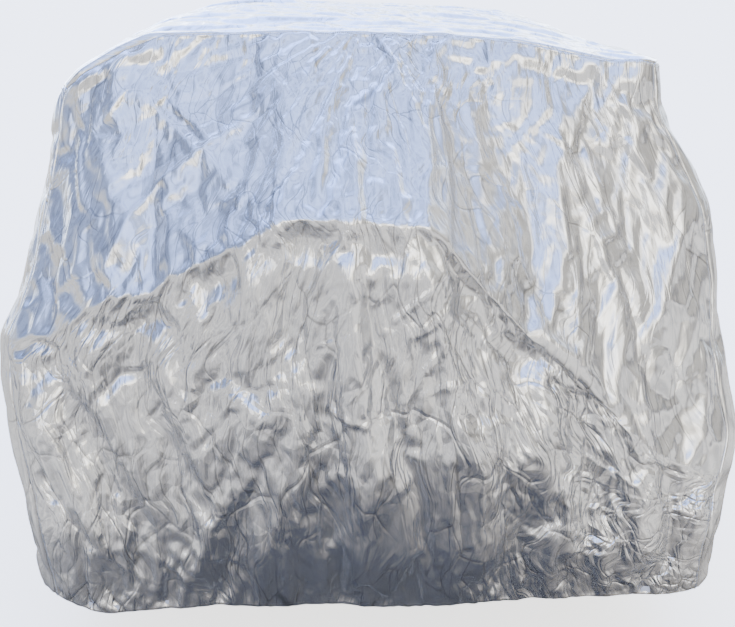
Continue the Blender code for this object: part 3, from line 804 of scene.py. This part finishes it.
def stitch_group():
    """Stitches laid end to end along lines, each a little out of true."""
    sizes = dict.fromkeys(("Pitch", "Length", "Thickness", "Sway"), "Float")
    inputs = {"Geometry": "Geometry", **sizes, "Seed": "Int"}
    group, given, wanted = group_of("stitches", "GeometryNodeTree", inputs, {"Geometry": "Geometry"})
    line = wired(group, "GeometryNodeMeshToCurve", "Curve", {"Mesh": given["Geometry"]})
    line = {"Curve": line, "Length": given["Pitch"]}
    line = wired(group, "GeometryNodeResampleCurve", "Curve", line, mode="LENGTH")
    size = {"X": given["Thickness"], "Y": given["Thickness"], "Z": given["Length"]}
    size = wired(group, "ShaderNodeCombineXYZ", "Vector", size)
    stitch = wired(group, "GeometryNodeMeshCube", "Mesh", {"Size": size})
    chance = {"Min": (-1, -1, -1), "Seed": given["Seed"]}
    chance = wired(group, "FunctionNodeRandomValue", "Value", chance, data_type="FLOAT_VECTOR")
    tangent = wired(group, "GeometryNodeInputTangent", "Tangent")
    direction = {"Vector": vectors(group, "ADD", tangent, scaled(group, chance, given["Sway"]))}
    turn = wired(group, "FunctionNodeAlignRotationToVector", "Rotation", direction, axis="Z")
    placed = {"Points": line, "Instance": stitch, "Rotation": turn}
    placed = wired(group, "GeometryNodeInstanceOnPoints", "Instances", placed)
    real = wired(group, "GeometryNodeRealizeInstances", "Geometry", {"Geometry": placed})
    painted = {"Geometry": real, "Material": grey_thread}
    painted = wired(group, "GeometryNodeSetMaterial", "Geometry", painted)
    group.links.new(painted, wanted["Geometry"])
    return group


def stitched(name, lines, seed):
    """Stitches along lines of points, as one piece."""
    corners, edges = [], []
    for line in lines:
        first = len(corners)
        corners.extend((line - HOLD).tolist())
        edges.extend((first + i, first + i + 1) for i in range(len(line) - 1))
    mesh = bpy.data.meshes.new(name)
    mesh.from_pydata(corners, edges, [])
    piece = bpy.data.objects.new(name, mesh)
    bpy.context.scene.collection.objects.link(piece)
    modifier = piece.modifiers.new("stitches", "NODES")
    modifier.node_group = stitches
    values = (STITCH_PITCH, STITCH_LENGTH, STITCH_THICK, STITCH_SWAY, seed)
    sockets = [item for item in stitches.interface.items_tree if item.in_out == "INPUT"]
    for socket, value in zip(sockets[1:], values):
        modifier[socket.identifier] = value
    evaluated = piece.evaluated_get(bpy.context.evaluated_depsgraph_get())
    plain = bpy.data.meshes.new_from_object(evaluated)
    piece.modifiers.clear()
    piece.data = plain
    plain.name = name
    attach(piece, "root")
    return piece


silver_film = film()
grey_thread = bpy.data.materials.new("grey_thread")
grey_thread.use_nodes = True
shader = grey_thread.node_tree.nodes["Principled BSDF"]
shader.inputs["Base Color"].default_value = (0.36, 0.36, 0.355, 1)
shader.inputs["Roughness"].default_value = 0.62
stitches = stitch_group()
rear_hemmed = hemmed(rear, outward(rear))
below_ridge = ridge(rear_hemmed[..., 0])[0] - rear_hemmed[..., 2]
crumpled = blend(*BACK_CRUMPLED, smooth((below_ridge + HANGS_FROM) / CRUMPLED_OVER))
rear_cloth = cloth_sheet("rear_cloth", rear_hemmed, True, "rear_panel", crumpled)
sewn = pushed(rear, STITCH_THICK / 2)[STITCH_LINE:, STITCH_LINE:-STITCH_LINE]
rear_stitches = stitched("rear_stitches", (sewn[:, 0], sewn[:, -1], sewn[0]), 1)

# ---------------------------------------------------------------------------------------
# The side panels: each is two lengths of the same cloth, joined by a seam over the front
# arch and sewn to the top along the roof and to the rear and the nose down the corners.
# The hem is turned up over elastic, and the cloth hangs in loose upright folds.

SIDE_SEAM = 0.857
SIDE_NET = (176, 1.4, (0.0,)), (528, 4.0, (0.0, SIDE_SEAM, 1.0))
SIDE_HEM_RISE, HEM_SETTLES, ROWS_SETTLE = 0.055, 4, 3
NOSE_CORNER, SEAM_BEHIND = 0.250, 0.1
NOSE_BOW, NOSE_BOW_POWER = 0.11, 2.4
NOSE_BULGE, BULGE_FROM, BULGE_OVER = 0.055, 0.95, 0.30
NOSE_DRAWN, DRAWN_FROM, DRAWN_OVER = 0.10, 0.42, 0.25
SIDE_FOLDS, NOSE_FOLDS = 11, 5
FOLD_DEPTH, FOLD_ENDS, FOLDS_OPEN = 0.030, 0.08, 0.9
FOLD_SEEDS = {-1: 0.35, 1: 2.10, "nose": 4.40}
FOLD_WAVES = (
    # strength, times as many, turn by the seed, lean
    (1.0, 1.00, 1.0, 0.0),
    (0.6, 1.63, 2.3, 1.1),
    (0.4, 0.47, 3.1, 0.0),
)
SIDE_CRUSH = (
    # lean, times as long, pitch, depth, seed
    ( 0.00, 3.2, 0.085, 0.0130, 11),
    ( 0.20, 3.4, 0.042, 0.0060, 15),
    (-0.15, 3.0, 0.022, 0.0018, 19),
)
SIDE_FREE, SIDE_FREE_BELOW = (0.015, 0.02), 0.04
SIDE_FULLER, SIDE_DRAPE, SIDE_CRUMPLED = (0.01, 0.03), (0.008, 26, 2), 0.7


def nose_y(x, height):
    """y of the nose panel, bowed in plan and drawn back at its hem."""
    drawn = NOSE_DRAWN * smooth((DRAWN_FROM - height) / DRAWN_OVER)
    bulge = NOSE_BULGE * smooth((BULGE_FROM - height) / BULGE_OVER)
    return NOSE_Y + bulge - drawn - NOSE_BOW * np.abs(x) ** NOSE_BOW_POWER


def nose_seam_x(side, height):
    """x of the nose's corner seam, halfway round the corner."""
    return half_width(side, np.array(NOSE_Y - SEAM_BEHIND), height) - ROUND_TO_SEAM * NOSE_CORNER


def side_x(side, y, height):
    """Distance of the side panel from the middle plane, with both corners turned."""
    wide = half_width(side, y, height)
    seam_x = corner_width(side, height)
    corner = back_corner(height)
    behind = back_field(side * seam_x, height) + corner - y
    ahead = y - (nose_y(0 * y, height) - NOSE_CORNER)
    return wide - turned(behind, corner) - turned(ahead, NOSE_CORNER)


def hanging_folds(place, down, count, seed):
    """Uneven folds that open towards the hem, for a place from 0 to 1 along a panel."""
    sweep = place * count * 2 * math.pi
    wave = sum(
        strength * np.sin(often * sweep + turn * seed + lean * down)
        for strength, often, turn, lean in FOLD_WAVES
    )
    return FOLD_DEPTH / 2 * wave * clear_of(place, FOLD_ENDS, FOLD_ENDS) * smooth(down / FOLDS_OPEN)


def edge_at(places, lines, edge):
    """Points of a net's edge at other places along it than its own lines."""
    return np.stack([np.interp(places, lines, edge[:, i]) for i in range(3)], -1)


def side_net(side, row_shares, column_shares):
    """Points of a side panel, row by row, from the back seam to the nose seam."""
    corner = edge_at(row_shares, back_rows, rear_smooth[:, 0 if side < 0 else -1])
    _, nose_top = top_seam(side, np.array(NOSE_Y))
    nose_top_y = float(nose_y(nose_seam_x(side, nose_top), nose_top))
    corner_share = (corner[:, 2] - corner[0, 2]) / (corner[-1, 2] - corner[0, 2])
    along, rows = column_shares[None, :], row_shares[:, None]
    top_y = blend(corner[0, 1], nose_top_y, along)
    _, seam = top_seam(side, top_y)
    arch = SIDE_HEM_RISE * np.sin(math.pi * along) ** 2
    hem = blend(corner[-1, 2], HEM_HEIGHT, smooth(along * HEM_SETTLES)) + arch
    down = blend(corner_share[:, None], rows, smooth(along * ROWS_SETTLE))
    height = seam + (hem - seam) * down
    end_y = nose_y(nose_seam_x(side, height), height)
    y = blend(corner[:, 1][:, None], end_y, along)
    y[0] = top_y[0]
    wave = hanging_folds(along + 0 * rows, rows + 0 * along, SIDE_FOLDS, FOLD_SEEDS[side])
    points = np.stack([side * (side_x(side, y, height) + wave), y, height], axis=-1)
    points[:, 0] = corner
    return points


side_rows, side_columns, down, place, welts = netted(*SIDE_NET)
split = int(np.argmin(np.abs(side_columns - SIDE_SEAM)))
free = clear_of(place, *SIDE_FREE) * smooth(down / SIDE_FREE_BELOW)
side_nets = {}
for side, name in ((-1, "left"), (1, "right")):
    net = side_net(side, side_rows, side_columns)
    big, mid, small = (
        crushed(net[..., 1], net[..., 2], *row[:-1], row[-1] + side) for row in SIDE_CRUSH
    )
    net = pushed(net, (big + mid) * free, side)
    net = draped(net, 1, blend(*SIDE_FULLER, down), 0.0, *SIDE_DRAPE)
    net = pushed(net, small * free, side)
    net = pushed(net, welts, side)
    side_nets[side] = net
    flip = side > 0
    out = outward(net) * side
    sewn = pushed(net, STITCH_THICK / 2, side)[STITCH_LINE:]
    body = hemmed(net[:, : split + 1], out[:, : split + 1])
    rear_part = cloth_sheet(f"{name}_cloth", body, flip, f"{name}_panel", SIDE_CRUMPLED)
    lines = (sewn[0, STITCH_LINE : split - 1], sewn[:, split - STITCH_LINE])
    sewing = stitched(f"{name}_stitches", lines, 5 + side)
    front = hemmed(net[:, split:], out[:, split:])
    node = f"{name}_front_panel"
    front_part = cloth_sheet(f"{name}_front_cloth", front, flip, node, SIDE_CRUMPLED)
    lines = (sewn[0, split + STITCH_LINE : -STITCH_LINE], sewn[:, -1 - STITCH_LINE])
    sewing = stitched(f"{name}_front_stitches", lines, 9 + side)

# ---------------------------------------------------------------------------------------
# The nose panel: a short width of the same cloth across the front, bowed in plan and drawn
# back at its hem by the elastic. It is sewn to the top's front edge and to the front parts
# of both sides.

NOSE_NET = (96, 0.72, (0.0,)), (200, 1.55, (0.0, 1.0))
CROWN_POWER = 5
NOSE_CRUSH = (
    # lean, times as long, pitch, depth, seed
    ( 0.00, 2.6, 0.080, 0.0080, 31),
    ( 0.20, 2.8, 0.036, 0.0045, 33),
    (-0.20, 1.3, 0.018, 0.0018, 35),
)
NOSE_FREE, NOSE_FREE_BELOW = 0.04, 0.06
NOSE_FULLER, NOSE_DRAPE, NOSE_CRUMPLED = (0.01, 0.03), (0.005, 22, 2), 0.8


def nose_net(row_shares, column_shares):
    """Points of the nose panel, row by row from the top's front edge, between the sides."""
    left, right = (edge_at(row_shares, side_rows, side_nets[side][:, -1]) for side in (-1, 1))
    share, down = column_shares[None, :], row_shares[:, None]
    crown = top_edge(np.array(NOSE_Y))[2] * (1 - np.abs(2 * share - 1) ** CROWN_POWER)
    x = blend(left[:, 0][:, None], right[:, 0][:, None], share)
    height = blend(left[:, 2][:, None], right[:, 2][:, None], share) + crown * (1 - down) ** 3
    y = nose_y(x, height)
    drift = blend((left[:, 1] - y[:, 0])[:, None], (right[:, 1] - y[:, -1])[:, None], share)
    wave = hanging_folds(share + 0 * down, down + 0 * share, NOSE_FOLDS, FOLD_SEEDS["nose"])
    return np.stack([x, y + drift + wave, height], axis=-1)


nose_rows, nose_columns, down, place, welts = netted(*NOSE_NET)
nose = nose_net(nose_rows, nose_columns)
free = clear_of(place, NOSE_FREE, NOSE_FREE) * smooth(down / NOSE_FREE_BELOW)
big, mid, small = (crushed(nose[..., 0], nose[..., 2], *row) for row in NOSE_CRUSH)
nose = pushed(nose, (big + mid) * free, -1)
nose = draped(nose, 0, blend(*NOSE_FULLER, down), 0.0, *NOSE_DRAPE)
nose = pushed(nose, small * free + welts, -1)
nose_hemmed = hemmed(nose, -outward(nose))
nose_cloth = cloth_sheet("nose_cloth", nose_hemmed, False, "nose_panel", NOSE_CRUMPLED)
sewn = pushed(nose, STITCH_THICK / 2, -1)
nose_stitches = stitched("nose_stitches", (sewn[STITCH_LINE, STITCH_LINE:-STITCH_LINE],), 15)

# ---------------------------------------------------------------------------------------
# The top panel: the roof and the slope and flat in front of it, in one plain length of the
# same cloth. Its edges are turned in and sewn to all its neighbours, and the whole cover
# hangs from it.

TOP_NET = (500, 4.3, (0.0, 1.0)), (188, 1.5, (0.0, 1.0))
TOP_CRUSH = (
    # lean, times as long, pitch, depth, seed, width and slant
    ( 0.0, 1 / 1.2, 0.110, 0.0060, 41, 2.2),
    ( 0.0, 1.0, 0.055, 0.0030, 43, 2.0, 0.3),
    (-0.2, 1.0, 0.024, 0.0012, 45),
)
TOP_FREE, TOP_FREE_ENDS = 0.05, 0.012
TOP_FULLER, TOP_GRIP, TOP_DRAPE, TOP_CRUMPLED = 0.012, 0.12, (0.004, 22, 2), 0.4


def top_net(row_shares, column_shares):
    """Points of the top panel, row by row from the back, between all its neighbours."""
    along, share = row_shares[:, None], column_shares[None, :]
    arch = 1 - np.abs(2 * share - 1) ** CROWN_POWER
    rear_edge = edge_at(column_shares, back_columns, rear_smooth[0])
    front_edge = edge_at(column_shares, nose_columns, nose[0])
    start, end = (edge_at(row_shares, side_columns, side_nets[side][0]) for side in (-1, 1))
    y = blend(rear_edge[:, 1][None, :], front_edge[:, 1][None, :], along)
    flat = blend(start[:, 2][:, None], end[:, 2][:, None], share)
    rise = top_edge(np.maximum(y, TAIL_Y))[2] * arch
    rear_rise = rear_edge[:, 2] - blend(rear_edge[0, 2], rear_edge[-1, 2], column_shares)
    fade = 1 - smooth((y - TAIL_Y) / CORNER_REACH)
    height = flat + blend(rise, rear_rise[None, :], fade)
    x = blend(start[:, 0][:, None], end[:, 0][:, None], share)
    points = np.stack([x, y, height], axis=-1)
    points[0], points[-1] = rear_edge, front_edge
    points[:, 0], points[:, -1] = start, end
    return points


top_rows, top_columns, along, place, welts = netted(*TOP_NET)
top = top_net(top_rows, top_columns)
free = clear_of(place, TOP_FREE, TOP_FREE) * clear_of(along, TOP_FREE_ENDS, TOP_FREE_ENDS)
big, mid, small = (crushed(top[..., 0], top[..., 1], *row) for row in TOP_CRUSH)
top = pushed(top, (big + mid) * free, -1)
top = draped(top, 1, TOP_FULLER, TOP_GRIP, *TOP_DRAPE)
top = pushed(top, small * free + welts, -1)
turn = np.array([0, 0, CLOTH_TURN])
edges = np.concatenate([top[:1] - turn, top, top[-1:] - turn])
top_cloth = cloth_sheet("top_cloth", edges, False, "top_panel", TOP_CRUMPLED)

# ---------------------------------------------------------------------------------------
# The room: a plain pale floor, a soft sky and a camera. Mirrored in the film, the floor shows a painted
# shadow close by and is patchy further off. The sky is bluer ahead and high up.

FLOOR_SIZE, FLOOR_GLOW = 600, 2.2
FLOOR_STRETCH, FLOOR_SHIFT, FLOOR_RANGE = (1.0, 0.5, 0.0), (0.0, -0.48, 0.0), (1.22, 2.10)
PATCH_SCALE, PATCH_RANGE = 3.2, (0.38, 0.62, 0.60, 1.25)
# Seen only in the film: close to the cover the floor is a dark painted shadow; further off it has a
# brown ground tone.
PALE_FLOOR, NEAR_GROUND_SHADOW, FAR_GROUND = (
    (0.86, 0.83, 0.78, 1),
    (0.022, 0.019, 0.015, 1),
    (0.84, 0.65, 0.375, 1),
)
bpy.ops.mesh.primitive_plane_add(size=FLOOR_SIZE, location=(0, 0, -HOLD[2]))
floor = bpy.context.object
floor.name = "floor"
floor_material = bpy.data.materials.new("floor")
floor_material.use_nodes = True
tree = floor_material.node_tree
shader = tree.nodes["Principled BSDF"]
shader.inputs["Roughness"].default_value = 0.9
shader.inputs["Specular IOR Level"].default_value = 0.1
shader.inputs["Emission Color"].default_value = (1.0, 0.99, 0.97, 1)
path = wired(tree, "ShaderNodeLightPath", None)
where = wired(tree, "ShaderNodeTexCoord", "Object")
centred = vectors(tree, "MULTIPLY_ADD", where, FLOOR_STRETCH, FLOOR_SHIFT)
away = vectors(tree, "LENGTH", centred, output="Value")
# Painted shadow: the mirrored floor is dark near the cover and lightens away from it.
ground_and_shadow = mixed(tree, "RGBA", NEAR_GROUND_SHADOW, FAR_GROUND, ranged(tree, away, *FLOOR_RANGE))
patches = {"Vector": vectors(tree, "NORMALIZE", centred), "Scale": PATCH_SCALE, "Detail": 2.0}
patches = wired(tree, "ShaderNodeTexNoise", "Fac", patches)
uneven = scaled(tree, ground_and_shadow, ranged(tree, patches, *PATCH_RANGE))
colour = mixed(tree, "RGBA", PALE_FLOOR, uneven, path["Is Glossy Ray"])
glow = maths(tree, "MULTIPLY", path["Is Camera Ray"], FLOOR_GLOW)
tree.links.new(colour, shader.inputs["Base Color"])
tree.links.new(glow, shader.inputs["Emission Strength"])
floor.data.materials.append(floor_material)

SKY = (
    # height of the direction, colour
    (0.00, (0.60, 0.57, 0.51)),
    (0.07, (0.92, 0.89, 0.83)),
    (0.25, (1.00, 0.99, 0.97)),
    (0.62, (0.34, 0.45, 0.80)),
    (1.00, (0.29, 0.40, 0.77)),
)
SKY_STRENGTH, SKY_LEAN = 3.6, -0.34
PANEL_SCALE, PANEL_RANGE = 2.4, (0.36, 0.64)
LOW_SKY, HIGH_SKY, SKY_RANGE = (0.50, 1.75), (0.70, 1.55), (0.25, 0.60)
AHEAD_TINT, AHEAD_RANGE, ASIDE_RANGE = (1.60, 1.85, 2.35), (0.20, 0.70), (0.18, 0.75, 1.0, 0.28)
BACKDROP, BACKDROP_STRENGTH = (1.0, 0.99, 0.98, 1), 4.2
world = bpy.data.worlds.new("sky")
bpy.context.scene.world = world
world.use_nodes = True
tree = world.node_tree
sky = tree.nodes["Background"]
sky.inputs["Strength"].default_value = SKY_STRENGTH
where = wired(tree, "ShaderNodeTexCoord", "Generated")
height = vectors(tree, "DOT_PRODUCT", where, (SKY_LEAN, 0.0, 1.0), output="Value")
tones = wired(tree, "ShaderNodeValToRGB", 0, {0: height})
tones.node.color_ramp.interpolation = "EASE"
stops = tones.node.color_ramp.elements
stops[0].position, stops[0].color = SKY[0][0], (*SKY[0][1], 1)
stops[1].position, stops[1].color = SKY[-1][0], (*SKY[-1][1], 1)
for position, colour in SKY[1:-1]:
    stops.new(position).color = (*colour, 1)
panels = {"Vector": where, "Scale": PANEL_SCALE, "Detail": 2.0}
panels = wired(tree, "ShaderNodeTexNoise", "Fac", panels)
axes = wired(tree, "ShaderNodeSeparateXYZ", None, {0: where})


def soft_range(*values):
    return ranged(tree, *values, interpolation_type="SMOOTHSTEP")


low_sky, high_sky = (soft_range(panels, *PANEL_RANGE, *ends) for ends in (LOW_SKY, HIGH_SKY))
even = soft_range(axes["Z"], *SKY_RANGE, low_sky, high_sky)
ahead = soft_range(axes["Y"], *AHEAD_RANGE)
aside = soft_range(maths(tree, "MULTIPLY", axes["X"], axes["X"]), *ASIDE_RANGE)
tint = mixed(tree, "VECTOR", (1.0, 1.0, 1.0), AHEAD_TINT, ahead)
tinted = vectors(tree, "MULTIPLY", tones, tint)
whole = scaled(tree, tinted, maths(tree, "MULTIPLY", even, aside))
tree.links.new(whole, sky.inputs["Color"])
backdrop = {"Color": BACKDROP, "Strength": BACKDROP_STRENGTH}
backdrop = wired(tree, "ShaderNodeBackground", 0, backdrop)
seen = wired(tree, "ShaderNodeLightPath", "Is Camera Ray")
either = wired(tree, "ShaderNodeMixShader", 0, {0: seen, 1: sky.outputs[0], 2: backdrop})
tree.links.new(either, tree.nodes["World Output"].inputs["Surface"])

CAMERA_BACK, CAMERA_HEIGHT, CAMERA_PITCH = 3.70, 1.89, 13.3
LENS, SENSOR = 73.3, 36.0
camera = bpy.data.objects.new("camera", bpy.data.cameras.new("camera"))
bpy.context.scene.collection.objects.link(camera)
camera.data.lens, camera.data.sensor_width = LENS, SENSOR
camera.location = Vector((0, -CAMERA_BACK, CAMERA_HEIGHT)) - Vector(HOLD)
camera.rotation_euler = (math.radians(90 - CAMERA_PITCH), 0, 0)
bpy.context.scene.camera = camera
